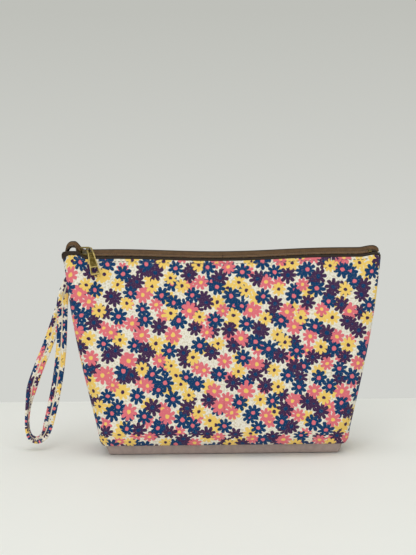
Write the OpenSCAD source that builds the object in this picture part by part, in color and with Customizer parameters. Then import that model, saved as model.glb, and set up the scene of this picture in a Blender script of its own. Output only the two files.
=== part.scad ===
// Zippered cosmetic pouch with a boxed base, a coil zipper along the top and a wrist strap.
// Origin at the middle of the flat base, +X along the zipper, front towards -Y, +Z up.

/* [Pouch] */
// Length of the flat base
base_len = 190; // [150:1:240]
// Depth of the flat base, front to back
base_depth = 60; // [48:1:80]
// Length of the pouch along the zipper
top_len = 250; // [205:1:320]
// Height of the zipper above the base
pouch_h = 156; // [120:1:200]
// Thickness of the printed canvas
canvas_t = 1.0; // [0.8:0.1:1.4]
// Thickness of the lining cloth
lining_t = 0.5; // [0.3:0.1:0.8]

/* [Zipper] */
// Half the width of the zipper band between the two folded canvas edges
band_half = 6.5; // [5.4:0.1:8]
// How far the zipper band faces the front, in degrees
band_tilt = 15; // [0:1:20]
// Thickness of the woven tape
tape_t = 0.6; // [0.4:0.1:0.8]
// Depth of tape sewn in between canvas and lining
tape_skirt = 12; // [6:1:16]
// Width of one coil
coil_w = 1.9; // [1.6:0.1:2.3]
// Height of the coils above the tape
coil_h = 1.5; // [1.2:0.1:2]

/* [Slider and pull] */
// Length of the slider body
slider_len = 12.4; // [10:0.1:15]
// Distance from the left end of the zipper to the middle of the slider
slider_inset = 17.5; // [16:0.5:24]
// Length of the pull's flat plate
pull_len = 19; // [14:0.5:26]
// Width of the pull at its lower end
pull_w = 7.4; // [6.4:0.1:9]
// Sideways lean of the hanging pull, in degrees
pull_lean = 16; // [0:1:16]

/* [Wrist strap] */
// Height at which the strap leaves the side seam
strap_z = 128; // [100:1:160]
// Length of the strap's hanging loop
strap_len = 124; // [80:1:126]
// Widest inside gap of the loop
strap_gap = 24; // [14:1:34]
// Width of the strap cloth
strap_w = 8.5; // [6:0.5:14]
// Thickness of the folded strap
strap_t = 2.4; // [1.6:0.1:3.2]
// Outward lean of the strap, in degrees
strap_lean = 11; // [0:1:20]

/* [Hidden] */

$fn = 48;
big = 600;               // larger than the whole pouch, for cutting blocks
hair = 0.05;             // face clearance between neighbouring layers
joint_gap = 0.3;         // clearance between pieces that move apart
layer_gap = 0.6;         // room between canvas and lining for tape and seam edges
fold_rise = 2;           // height where a moving wall starts above the base fold
hem_rise = 0.9;          // canvas fold standing above the tape
fold_gap = 0.25;         // from the tape's outer edge to the canvas fold
coil_gap = 0.9;          // from the zipper's middle to each coil
tape_gap = 1.2;          // from the zipper's middle to each tape
lining_drop = 2.5;       // lining edge below the zipper band
skirt_spare = 2;         // height kept under the tape skirt where it meets the end face
coil_short = 5;          // from each coil's last turn to the end of its tape
lining_d = canvas_t + layer_gap;
inner_d = lining_d + lining_t;

// Slider and pull: the crown is an arch along the slider, and the pull's eye turns inside it
slider_gap = 0.3;
under_gap = 0.4;         // from the tapes down to the slider's lower plate
flange_gap = 0.4;        // from each coil out to the slider's side flange
nose_flare = 1;          // how much wider the slider is at its nose than at its tail
pivot_rise = 2.3;        // from the top plate to the middle of the pull's pivot
crown_clear = 1.2;       // from the pivot up to the crown's underside
plate_t = 0.8;
flange_t = 1.0;
leg_w = 1.2;
leg_x = 2.6;
crown_back_x = -3.6;
crown_half = 0.7;
crown_bar = 0.9;
eye_t = 0.8;
eye_half = 2.5;
eye_window = 1.3;
eye_reach = 2.8;
eye_inset = 1;           // the eye stops this far short of the canvas fold's outer face
eye_front = band_half + canvas_t - eye_inset;
pull_droop = 14;
pull_bend = 30;
pull_t = 1.2;
top_plate_z = tape_t + coil_h + slider_gap;
bottom_plate_z = -under_gap - plate_t;
plate_top = top_plate_z + plate_t;
flange_in = coil_gap + coil_w + flange_gap;
nose_half = flange_in + flange_t;
tail_half = nose_half - nose_flare;
pivot_z = plate_top + pivot_rise;
crown_under = pivot_z + crown_clear;
slider_x = -top_len / 2 + slider_inset;

// Stretch of each end that stays with the sides when the walls part: the closed slider and its
// hanging pull fit in it, and the foot of each end face stays whole
park_spare = 5.3;
pull_side_reach = leg_x + (eye_front + pull_len) * sin(pull_lean) + pull_w / 2;
corner_keep = 5;
split_x = min(-slider_x - pull_side_reach - park_spare, base_len / 2 - corner_keep);

// ---- points on the slanted walls -------------------------------------------------

// A point given across and above the tilted zipper band, as [y, z]
function zip_pt(across, above) =
    [across * cos(band_tilt) - above * sin(band_tilt),
     pouch_h + across * sin(band_tilt) + above * cos(band_tilt)];

// Foot and head of the outer face of the wall on one side: 1 is the front, -1 the back
function wall_foot(side) = [-side * base_depth / 2, 0];
function wall_head(side) = zip_pt(-side * (band_half + canvas_t), 0);
function wall_len(side) = norm(wall_head(side) - wall_foot(side));
function wall_dir(side) = (wall_head(side) - wall_foot(side)) / wall_len(side);

// A point up the wall by s and in from its outer face by d, as [y, z]
function wall_pt(side, s, d) =
    wall_foot(side) + s * wall_dir(side) + d * side * [wall_dir(side)[1], -wall_dir(side)[0]];

// Slope of the pouch ends, and a point on them: side is 1 for the right, -1 for the left
end_dir = [(top_len - base_len) / 2, pouch_h] / norm([(top_len - base_len) / 2, pouch_h]);
function end_pt(side, s, d) =
    [side * (base_len / 2 + s * end_dir[0] - d * end_dir[1]), s * end_dir[1] + d * end_dir[0]];

// Where the tapes stop, short of the slanting end faces
tape_end_x = end_pt(1, (wall_head(1)[1] - tape_skirt - skirt_spare) / end_dir[1], inner_d)[0] - hair;

// ---- placing helpers -------------------------------------------------------------

module along_x(x0, x1) {
    translate([x0, 0, 0]) rotate([90, 0, 90]) linear_extrude(x1 - x0) children();
}

module along_y(width) {
    rotate([90, 0, 0]) linear_extrude(width, center = true) children();
}

// Moves children from the zipper's own frame to the top of the pouch
module zip_frame() {
    translate([0, 0, pouch_h]) rotate([band_tilt, 0, 0]) children();
}

module on_side(side) {
    if (side > 0) children();
    else mirror([1, 0, 0]) children();
}

// ---- the room inside the pouch, pulled in by d -----------------------------------

module wall_room(d) {
    over = 14;
    along_x(-big / 2, big / 2)
        polygon([wall_pt(1, -over, d), wall_pt(1, wall_len(1) + over, d),
                 wall_pt(-1, wall_len(-1) + over, d), wall_pt(-1, -over, d)]);
}

module end_room(d) {
    over = 14;
    along_y(big)
        polygon([end_pt(-1, -over, d), end_pt(-1, pouch_h + over, d),
                 end_pt(1, pouch_h + over, d), end_pt(1, -over, d)]);
}

module pouch_room(d) {
    intersection() {
        wall_room(d);
        end_room(d);
    }
}

// Everything above the band by the given height
module above_band(height) {
    zip_frame() translate([-big / 2, -big / 2, height]) cube([big, big, big]);
}

// The slot between the canvas folds where the zipper lies
module zip_corridor() {
    drop = 0.8;
    half = band_half + fold_gap;
    zip_frame() translate([-big / 2, -half, -drop]) cube([big, 2 * half, big]);
}

// A flat layer of one wall between two depths, for one stretch of the zipper
module wall_layer(side, s0, s1, d0, d1, x0, x1) {
    intersection() {
        along_x(x0, x1)
            polygon([wall_pt(side, s0, d0), wall_pt(side, s1, d0),
                     wall_pt(side, s1, d1), wall_pt(side, s0, d1)]);
        end_room(0);
    }
}

// ---- canvas ----------------------------------------------------------------------

module wall_canvas(side) {
    half = split_x - joint_gap / 2;
    difference() {
        wall_layer(side, fold_rise, wall_len(side) + hem_rise, 0, canvas_t, -half, half);
        zip_corridor();
    }
}

module front_canvas() {
    color([0.86, 0.72, 0.70]) wall_canvas(1);
}

module back_canvas() {
    color([0.86, 0.72, 0.70]) wall_canvas(-1);
}

module base_canvas() {
    color([0.80, 0.66, 0.66])
        translate([-base_len / 2, -base_depth / 2, 0])
            cube([base_len, base_depth, canvas_t]);
}

// One end of the pouch: the end face and the strips of wall that stay with it
module side_canvas() {
    color([0.82, 0.70, 0.72])
        difference() {
            pouch_room(0);
            pouch_room(canvas_t);
            zip_corridor();
            above_band(hem_rise);
            translate([-big, -big / 2, -big / 2]) cube([big + split_x, big, big]);
            translate([-big / 2, -big / 2, -big]) cube([big, big, big + canvas_t]);
        }
}

// ---- lining ----------------------------------------------------------------------

module wall_lining(side) {
    half = split_x - joint_gap / 2;
    s0 = fold_rise + canvas_t;
    difference() {
        wall_layer(side, s0, wall_len(side), lining_d, inner_d, -half, half);
        above_band(-lining_drop);
        difference() {
            wall_room(0);
            end_room(lining_d);
        }
    }
}

module front_lining() {
    color([0.93, 0.90, 0.84]) wall_lining(1);
}

module back_lining() {
    color([0.93, 0.90, 0.84]) wall_lining(-1);
}

module base_lining() {
    margin = inner_d + joint_gap;
    color([0.90, 0.87, 0.80])
        translate([-base_len / 2 + margin, -base_depth / 2 + margin, lining_d])
            cube([base_len - 2 * margin, base_depth - 2 * margin, lining_t]);
}

module side_lining() {
    color([0.91, 0.88, 0.82])
        difference() {
            pouch_room(lining_d);
            pouch_room(inner_d);
            above_band(-lining_drop);
            translate([-big, -big / 2, -big / 2]) cube([big + split_x, big, big]);
            translate([-big / 2, -big / 2, -big]) cube([big, big, big + inner_d]);
        }
}

// ---- zipper tape and coil --------------------------------------------------------

// Section of one tape: flat beside the coil, then down between canvas and lining
module tape_section(side) {
    outer_d = canvas_t + hair;
    skirt_in = lining_d - hair;
    top = wall_len(side);
    knee = 0.3;
    polygon([zip_pt(-side * tape_gap, tape_t), zip_pt(-side * band_half, tape_t),
             wall_pt(side, top - knee, outer_d), wall_pt(side, top - tape_skirt, outer_d),
             wall_pt(side, top - tape_skirt, skirt_in), wall_pt(side, top - 2 * knee, skirt_in),
             zip_pt(-side * (band_half - 2 * knee), 0), zip_pt(-side * tape_gap, 0)]);
}

module tape_run(side, x0, x1) {
    color([0.36, 0.24, 0.16]) along_x(x0, x1) tape_section(side);
}

// One coil: a round-topped bar on the tape
module coil_run(side, x0, x1) {
    r = coil_w / 2;
    y = -side * (coil_gap + r);
    color([0.45, 0.31, 0.21])
        zip_frame() along_x(x0, x1) intersection() {
            translate([y - r, tape_t]) square([coil_w, coil_h]);
            union() {
                translate([y - r, tape_t]) square([coil_w, coil_h - r]);
                translate([y, tape_t + coil_h - r]) circle(r);
            }
        }
}

module tape_ends() {
    for (side = [-1, 1]) tape_run(side, split_x + joint_gap / 2, tape_end_x);
}

module coil_ends() {
    for (side = [-1, 1]) coil_run(side, split_x + joint_gap / 2, tape_end_x - coil_short);
}

module moving_tape(side) {
    tape_run(side, -split_x + joint_gap / 2, split_x - joint_gap / 2);
}

module moving_coil(side) {
    coil_run(side, -split_x + joint_gap / 2, split_x - joint_gap / 2);
}

// Bar tacks that close the tapes beyond the last turn of each coil
module left_end_tacks() {
    tack = [2, 2.6, 0.8];
    inset = 1;
    color([0.30, 0.20, 0.14])
        zip_frame() for (side = [-1, 1])
            translate([-tape_end_x + inset, side * (tape_gap + tack[1] / 2 + hair) - tack[1] / 2, tape_t])
                cube(tack);
}

// A clamped bridge over both tapes that stops the slider
module right_end_stop() {
    width = 2 * (coil_gap + coil_w);
    inset = 4.5;
    stop_len = 2.4;
    color([0.50, 0.40, 0.20])
        zip_frame() translate([tape_end_x - inset, -width / 2, tape_t])
            cube([stop_len, width, coil_h]);
}

// ---- slider and pull -------------------------------------------------------------

module slider_frame() {
    zip_frame() translate([slider_x, 0, 0]) children();
}

// Outline of the slider's plates: wide at the nose, narrower at the tail
module slider_outline(nose, tail) {
    r = 1.6;
    half = slider_len / 2;
    for (s = [-1, 1]) {
        translate([-half + r, s * (nose - r)]) circle(r);
        translate([half - r, s * (tail - r)]) circle(r);
    }
    polygon([[-half + r, -nose], [0, -nose], [half - r, -tail], [half, -tail + r],
             [half, tail - r], [half - r, tail], [0, nose], [-half + r, nose],
             [-half, nose - r], [-half, -nose + r]]);
}

module slider_flanges(z0, z1) {
    translate([0, 0, z0]) linear_extrude(z1 - z0) difference() {
        slider_outline(nose_half, nose_half);
        translate([-slider_len, -flange_in]) square([2 * slider_len, 2 * flange_in]);
    }
}

// The crown: an arch along the slider that holds the pull
module slider_crown() {
    r = 1.0;
    x0 = crown_back_x - leg_w / 2;
    x1 = leg_x + leg_w / 2;
    top = crown_under + crown_bar;
    sunk = 0.3;
    along_y(2 * crown_half) difference() {
        union() {
            translate([x0, plate_top - sunk]) square([x1 - x0, top - r - plate_top + sunk]);
            translate([x0 + r, top - 2 * r]) square([x1 - x0 - 2 * r, 2 * r]);
            translate([x0 + r, top - r]) circle(r);
            translate([x1 - r, top - r]) circle(r);
        }
        translate([x0 + leg_w, plate_top]) square([x1 - x0 - 2 * leg_w, crown_under - plate_top]);
    }
}

module slider_body() {
    post_half = coil_gap - slider_gap;
    post_len = 2.8;
    post_inset = 1;
    tape_room = 0.5;
    tail_spare = 0.4;
    color([0.52, 0.43, 0.24])
        slider_frame() union() {
            translate([0, 0, top_plate_z]) linear_extrude(plate_t)
                slider_outline(nose_half, tail_half);
            translate([0, 0, bottom_plate_z]) linear_extrude(plate_t)
                slider_outline(nose_half, tail_half);
            intersection() {
                slider_flanges(tape_t + tape_room, top_plate_z + plate_t / 2);
                translate([0, 0, bottom_plate_z]) linear_extrude(big)
                    slider_outline(nose_half, tail_half + tail_spare);
            }
            translate([-slider_len / 2 + post_inset, -post_half, bottom_plate_z + plate_t / 2])
                cube([post_len, 2 * post_half, top_plate_z - bottom_plate_z]);
            slider_crown();
        }
}

// Flat eye that hooks through the crown, lying towards -Y from the pivot
module pull_eye() {
    arch_y = eye_reach - eye_half;
    window_y = 0.8;
    window_front = 4.2;
    linear_extrude(eye_t, center = true) difference() {
        union() {
            translate([0, arch_y]) circle(eye_half);
            translate([-eye_half, -eye_front]) square([2 * eye_half, eye_front + arch_y]);
        }
        translate([0, window_y]) circle(eye_window);
        translate([-eye_window, -window_front]) square([2 * eye_window, window_front + window_y]);
    }
}

// Outline of the plate, inset all round by e, from its top at y = 0 down to -pull_len
module plate_outline(e) {
    r = 1.6;
    low = pull_w / 2 - e;
    top = eye_half - e;
    bottom = -pull_len + e;
    polygon([[-top, -e], [top, -e], [low, bottom + r], [low - r, bottom],
             [-low + r, bottom], [-low, bottom + r]]);
    for (s = [-1, 1]) translate([s * (low - r), bottom + r]) circle(r);
}

// Plate with a raised rim, a sunk panel and a window at the lower end
module pull_plate() {
    rim = 1.1;
    sink = 0.4;
    window_rim = 1.5;
    window_top = -12.6;
    difference() {
        translate([0, 0, -pull_t / 2]) linear_extrude(pull_t) plate_outline(0);
        translate([0, 0, pull_t / 2 - sink]) linear_extrude(pull_t) intersection() {
            plate_outline(rim);
            translate([-pull_w, window_top + rim]) square([2 * pull_w, pull_len]);
        }
        translate([0, 0, -pull_t]) linear_extrude(2 * pull_t) intersection() {
            plate_outline(window_rim);
            translate([-pull_w, -pull_len]) square([2 * pull_w, pull_len + window_top]);
        }
    }
}

module pull_tab() {
    color([0.56, 0.47, 0.27])
        slider_frame() translate([leg_x, 0, pivot_z])
            rotate([pull_droop, 0, 0]) rotate([0, 0, pull_lean]) {
                pull_eye();
                translate([0, -eye_front + pull_t / 2, 0]) rotate([pull_bend, 0, 0]) pull_plate();
            }
}

// ---- stitching and seams ---------------------------------------------------------

row_inset = 1;

// Row of stitches on the outer face of one wall, just below its top edge
module stitch_row(side, x0, x1) {
    pitch = 3.2;
    stitch = 2.3;
    thread = 0.3;
    below = 2.2;
    count = floor((x1 - x0) / pitch);
    start = (x0 + x1 - count * pitch + pitch - stitch) / 2;
    color([0.93, 0.88, 0.78])
        for (i = [0:count - 1])
            along_x(start + i * pitch, start + i * pitch + stitch)
                polygon([wall_pt(side, wall_len(side) - below, -hair / 2),
                         wall_pt(side, wall_len(side) - below - thread, -hair / 2),
                         wall_pt(side, wall_len(side) - below - thread, -thread),
                         wall_pt(side, wall_len(side) - below, -thread)]);
}

module wall_topstitch(side) {
    stitch_row(side, -split_x + row_inset, split_x - row_inset);
}

module end_topstitch() {
    for (side = [-1, 1]) stitch_row(side, split_x + row_inset, top_len / 2 - 3 * row_inset);
}

// Pressed-open canvas edges inside one end, from the base to the zipper
module side_seam() {
    half = 6;
    color([0.75, 0.62, 0.62])
        difference() {
            intersection() {
                difference() {
                    end_room(canvas_t + hair);
                    end_room(lining_d - hair);
                }
                translate([0, -half, inner_d]) cube([big, 2 * half, pouch_h]);
                wall_room(inner_d);
            }
            above_band(-lining_drop);
        }
}

module bottom_seam() {
    half = 6;
    short = 12;
    color([0.75, 0.62, 0.62])
        translate([-base_len / 2 + short, -half, canvas_t + hair])
            cube([base_len - 2 * short, 2 * half, layer_gap - 2 * hair]);
}

// Edges of the two boxed corners, lying on the base just inside its short edges
module corner_seams() {
    width = 6;
    lining_gap = 1;
    short = 4;
    inset = inner_d + lining_gap;
    reach = base_depth / 2 - short;
    color([0.75, 0.62, 0.62])
        for (side = [-1, 1]) on_side(side)
            translate([base_len / 2 - inset - width, -reach, canvas_t + hair])
                cube([width, 2 * reach, layer_gap - 2 * hair]);
}

// ---- wrist strap -----------------------------------------------------------------

neck_len = 8;
neck_r = strap_t / 2;
root_clear = 1.3;
swing_gap = 0.5;
strap_root_x = end_pt(-1, strap_z / end_dir[1], -(neck_r + root_clear))[0];

// Moves children from the strap's own frame, hanging down along -Z, to the side seam
module strap_frame() {
    translate([strap_root_x, 0, strap_z]) rotate([0, strap_lean, 0]) children();
}

// Doubled end of the strap where both plies are sewn together, round at both ends
module strap_neck() {
    color([0.84, 0.70, 0.68])
        strap_frame() along_y(strap_w) union() {
            circle(neck_r);
            translate([-neck_r, -neck_len]) square([strap_t, neck_len]);
            translate([0, -neck_len]) circle(neck_r);
        }
}

// Middle line of the hanging loop: a drop, narrow at the top and round at the bottom
loop_top = neck_len + strap_t + swing_gap;
drop_power = 1.5;
drop_widest = 0.70;      // greatest value of sin(t) * sin(t / 2) ^ drop_power
function drop_pt(t) =
    let (half_h = (strap_len - loop_top - neck_r) / 2,
         half_w = (strap_gap + strap_t) / 2 / drop_widest)
    [half_w * sin(t) * pow(sin(t / 2), drop_power), half_h * (cos(t) - 1)];

function drop_dir(t) = (drop_pt(t + 1) - drop_pt(t - 1)) / norm(drop_pt(t + 1) - drop_pt(t - 1));

function drop_edge(t, off) = drop_pt(t) + off * [drop_dir(t)[1], -drop_dir(t)[0]];

// Closed outline beside the middle line, from one angle round to the same angle on the other side
function drop_outline(first, off) = [for (t = [first:8:360 - first]) drop_edge(t, off)];

module wrist_strap() {
    outer_first = 20;
    inner_first = 44;
    color([0.84, 0.70, 0.68])
        strap_frame() translate([0, 0, -loop_top]) along_y(strap_w) difference() {
            union() {
                circle(neck_r);
                polygon(concat([[neck_r, 0]], drop_outline(outer_first, -neck_r), [[-neck_r, 0]]));
            }
            polygon(drop_outline(inner_first, neck_r));
        }
}

// Bar tack of thread across the neck
module strap_tack() {
    tack_t = 0.4;
    tack_h = 1.6;
    edge = 1;
    above_end = 2;
    color([0.93, 0.88, 0.78])
        strap_frame() for (s = [-1, 1])
            translate([s * (neck_r + hair + tack_t / 2) - tack_t / 2,
                       -strap_w / 2 + edge, -neck_len + above_end])
                cube([tack_t, strap_w - 2 * edge, tack_h]);
}

// ---- output ----------------------------------------------------------------------

front_canvas();
back_canvas();
base_canvas();
on_side(-1) side_canvas();  // left_side_canvas
on_side(1) side_canvas();  // right_side_canvas
front_lining();
back_lining();
base_lining();
on_side(-1) side_lining();  // left_side_lining
on_side(1) side_lining();  // right_side_lining
moving_tape(1);  // front_tape
moving_tape(-1);  // back_tape
on_side(-1) tape_ends();  // left_tape_ends
on_side(1) tape_ends();  // right_tape_ends
moving_coil(1);  // front_coil
moving_coil(-1);  // back_coil
on_side(-1) coil_ends();  // left_coil_ends
on_side(1) coil_ends();  // right_coil_ends
slider_body();
pull_tab();
left_end_tacks();
right_end_stop();
wall_topstitch(1);  // front_topstitch
wall_topstitch(-1);  // back_topstitch
on_side(-1) end_topstitch();  // left_topstitch
on_side(1) end_topstitch();  // right_topstitch
on_side(-1) side_seam();  // left_side_seam
on_side(1) side_seam();  // right_side_seam
bottom_seam();
corner_seams();
strap_neck();
wrist_strap();
strap_tack();
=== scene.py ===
import math

import bmesh
import bpy
from mathutils import Matrix, Vector


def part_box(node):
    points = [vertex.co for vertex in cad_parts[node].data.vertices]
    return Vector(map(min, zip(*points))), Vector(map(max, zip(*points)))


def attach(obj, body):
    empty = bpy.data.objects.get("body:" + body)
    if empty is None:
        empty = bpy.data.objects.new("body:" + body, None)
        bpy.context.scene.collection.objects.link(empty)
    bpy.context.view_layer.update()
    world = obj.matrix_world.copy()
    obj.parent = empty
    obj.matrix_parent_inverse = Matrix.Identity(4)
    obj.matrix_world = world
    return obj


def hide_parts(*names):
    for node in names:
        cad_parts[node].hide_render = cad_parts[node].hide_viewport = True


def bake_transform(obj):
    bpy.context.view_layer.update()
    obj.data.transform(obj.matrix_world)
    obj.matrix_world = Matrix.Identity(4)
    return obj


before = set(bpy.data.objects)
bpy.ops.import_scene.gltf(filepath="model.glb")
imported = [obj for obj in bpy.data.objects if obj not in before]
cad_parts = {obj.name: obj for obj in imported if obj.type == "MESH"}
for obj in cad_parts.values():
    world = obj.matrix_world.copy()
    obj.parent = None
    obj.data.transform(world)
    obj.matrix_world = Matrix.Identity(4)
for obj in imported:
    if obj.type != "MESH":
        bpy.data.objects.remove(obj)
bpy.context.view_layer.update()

bl_info = {
    "name": "Zippered canvas pouch",
    "version": (1, 0, 0),
    "blender": (4, 5, 0),
    "location": "3D View > Sidebar > Pouch",
    "description": "Printed canvas pouch with a coil zipper, a boxed base and a wrist strap",
    "category": "Add Mesh",
}

MM = 0.001
BASE_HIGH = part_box("base_canvas")[1]
END_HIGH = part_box("right_side_canvas")[1]
FRONT, BACK = -1, 1
LEFT, RIGHT = -1, 1
FACE_NAME = {FRONT: "front", BACK: "back"}
END_NAME = {LEFT: "left", RIGHT: "right"}
QUARTERS = [(face, end) for face in (FRONT, BACK) for end in (LEFT, RIGHT)]
CLOTH_MAP = "cloth"


# ---- sizes and colours that a user would change ----------------------------------

def length(name, description, value):
    return bpy.props.FloatProperty(name=name, description=description, default=value,
                                   min=0, unit="LENGTH")


def lengths(name, description, *values):
    return bpy.props.FloatVectorProperty(name=name, description=description, default=values,
                                         size=len(values), unit="LENGTH")


def turning(name, description, degrees):
    return bpy.props.FloatProperty(name=name, description=description,
                                   default=math.radians(degrees), subtype="ANGLE")


def paint(name, description, red, green, blue):
    """A colour property, given as the 0 to 255 values of a colour card."""
    return bpy.props.FloatVectorProperty(name=name, description=description, size=3, min=0, max=1,
                                         subtype="COLOR", default=linear(red, green, blue))


def linear(red, green, blue):
    """Scene-linear colour from 0 to 255 display values."""
    return tuple(channel / 255 / 12.92 if channel <= 10 else ((channel / 255 + 0.055) / 1.055) ** 2.4
                 for channel in (red, green, blue))


def toned(colour, level):
    """The colour made darker or lighter, never past white."""
    return tuple(min(1, channel * level) for channel in colour)


class PouchShape(bpy.types.PropertyGroup):
    half_base: length("Half base length", "From the middle of the base to one end", BASE_HIGH.x)
    half_depth: length("Half base depth", "From the middle of the base to the front", BASE_HIGH.y)
    height: length("Height", "From the base to the middle of the zipper", 156 * MM)
    band_half: length("Half band", "From the zipper's middle to the outside of the canvas", 7.5 * MM)
    band_tilt: turning("Band tilt", "How far the zipper faces the front", 15)
    corner_radius: length("Corner radius", "Roundness of the upright corners at the base", 14.5 * MM)
    back_drop: length("Back drop", "How far the back canvas fold lies below the zipper", 1.2 * MM)
    belly: length("Belly", "How far the front bows out", 5 * MM)
    end_bow: length("End bow", "How far the ends bow out", 3.3 * MM)
    face_fold: lengths("Face fold", "Depth, height and lift of the front's rounding at the bottom",
                       6 * MM, 12 * MM, 8.5 * MM)
    end_fold: lengths("End fold", "Depth, height and lift of each end's rounding at the bottom",
                      4 * MM, 11 * MM, 7.5 * MM)
    tuck: length("Tuck", "How far the raised fold slopes in before it meets the floor", 4 * MM)
    sag: length("Top sag", "How far the middle of the top edge hangs", 2.4 * MM)
    left_rise: length("Left rise", "How far the front fold stands up left of the slider", 2.8 * MM)
    end_drop: length("End drop", "How far the canvas at both ends lies below the zipper", 2.2 * MM)
    right_rise: length("Right rise", "How far the right end of the zipper stands up", 1.5 * MM)
    cloth_thickness: length("Cloth thickness", "Thickness of the printed canvas", 0.45 * MM)


class ZipperShape(bpy.types.PropertyGroup):
    tape_thickness: length("Tape thickness", "Thickness of the woven tape", 0.6 * MM)
    tape_end: length("Tape end", "From the middle of the zipper to the end of the tape", 124.6 * MM)
    coil_pitch: length("Coil pitch", "Distance between two turns of a coil", 1.5 * MM)
    coil_width: length("Coil width", "Width of one coil", 3.1 * MM)
    coil_height: length("Coil height", "Height of one coil above the tape", 1.5 * MM)
    strand: length("Coil strand", "Thickness of the coil's strand", 0.75 * MM)
    arch: length("End arch", "How far the back tape stands up at the left end", 6.7 * MM)
    stitch_pitch: length("Stitch pitch", "Distance between two stitches of the top row", 3.2 * MM)
    stitch_length: length("Stitch length", "Length of one stitch", 2.3 * MM)
    stitch_below: length("Stitch drop", "From the canvas fold down to the row of stitches", 2.4 * MM)


class StrapShape(bpy.types.PropertyGroup):
    width: length("Strap width", "Width of the folded strap", 8.2 * MM)
    thickness: length("Strap thickness", "Thickness of the folded strap", 2.2 * MM)
    groove: length("Strap groove", "Depth of the sewn line along the strap", 0.45 * MM)


class PrintColours(bpy.types.PropertyGroup):
    ground: paint("Ground", "Unprinted canvas", 247, 242, 230)
    blue: paint("Blue", "Deep blue petals", 0, 60, 108)
    purple: paint("Purple", "Dark purple petals", 68, 40, 80)
    pink: paint("Pink", "Pink petals", 234, 118, 130)
    yellow: paint("Yellow", "Yellow petals", 250, 212, 112)
    # painted shade: the base's plain mauve is set so that the strip under the raised front fold matches
    # the shadow there
    base: paint("Base", "Plain cloth of the base", 192, 173, 167)
    tape: paint("Tape", "Zipper tape", 116, 86, 54)
    coil: paint("Coil", "Zipper coil", 126, 96, 64)
    lining: paint("Lining", "Lining cloth", 232, 224, 205)
    thread: paint("Thread", "Sewing thread on the strap", 238, 226, 198)
    top_thread: paint("Top thread", "Topstitching thread along the zipper", 112, 96, 104)
    brass: paint("Brass", "Antique brass in the hollows", 74, 62, 26)
    # worn brass colour: rubbed wear, and painted highlight where the slider's and pull's rims are bright
    brass_wear_and_highlight: paint("Worn brass", "Antique brass where it is rubbed", 170, 152, 96)


class StageLook(bpy.types.PropertyGroup):
    floor: paint("Floor", "Floor under the pouch", 240, 241, 238)
    room: paint("Room", "Pale room behind the pouch", 211, 212, 207)
    room_above: paint("Room above", "The same room higher up", 191, 192, 186)
    floor_behind: length("Floor behind", "From the pouch back to the far edge of the floor", 175 * MM)
    camera_distance: length("Camera distance", "From the pouch to the camera", 800 * MM)
    focal_length: bpy.props.FloatProperty(name="Focal length", description="Of the lens, in mm",
                                          default=86.5, min=1)
    camera_rise: turning("Camera rise", "Height angle of the camera", 10)
    camera_turn: turning("Camera turn", "Side angle of the camera", -1.5)
    camera_roll: turning("Camera roll", "Lean of the camera", -0.3)
    camera_left: turning("Camera left", "How far the camera looks to the left of the pouch", 0.84)
    camera_up: turning("Camera up", "How far the camera looks above the pouch", 4.29)


# ---- small sums ------------------------------------------------------------------

def mix(a, b, share):
    return a + (b - a) * share


def ramp(value, low, high):
    """Smooth step from 0 at low to 1 at high."""
    share = min(1, max(0, (value - low) / (high - low)))
    return share * share * (3 - 2 * share)


def hump(value, middle, width):
    return math.exp(-((value - middle) / width) ** 2)


def smooth_run(stations, share):
    """Values at a share of a smooth run through the stations, each a tuple of numbers."""
    last = len(stations) - 1
    run = min(max(share, 0), 1) * last
    left = min(int(run), last - 1)
    ahead = run - left
    around = [stations[min(max(left + step, 0), last)] for step in (-1, 0, 1, 2)]
    values = []
    for before, here, after, beyond in zip(*around):
        slope_here = (after - before) / 2
        slope_after = (beyond - here) / 2
        values.append((2 * ahead ** 3 - 3 * ahead ** 2 + 1) * here
                      + (ahead ** 3 - 2 * ahead ** 2 + ahead) * slope_here
                      + (3 * ahead ** 2 - 2 * ahead ** 3) * after
                      + (ahead ** 3 - ahead ** 2) * slope_after)
    return values


# ---- the form of the bag -----------------------------------------------------------

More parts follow.
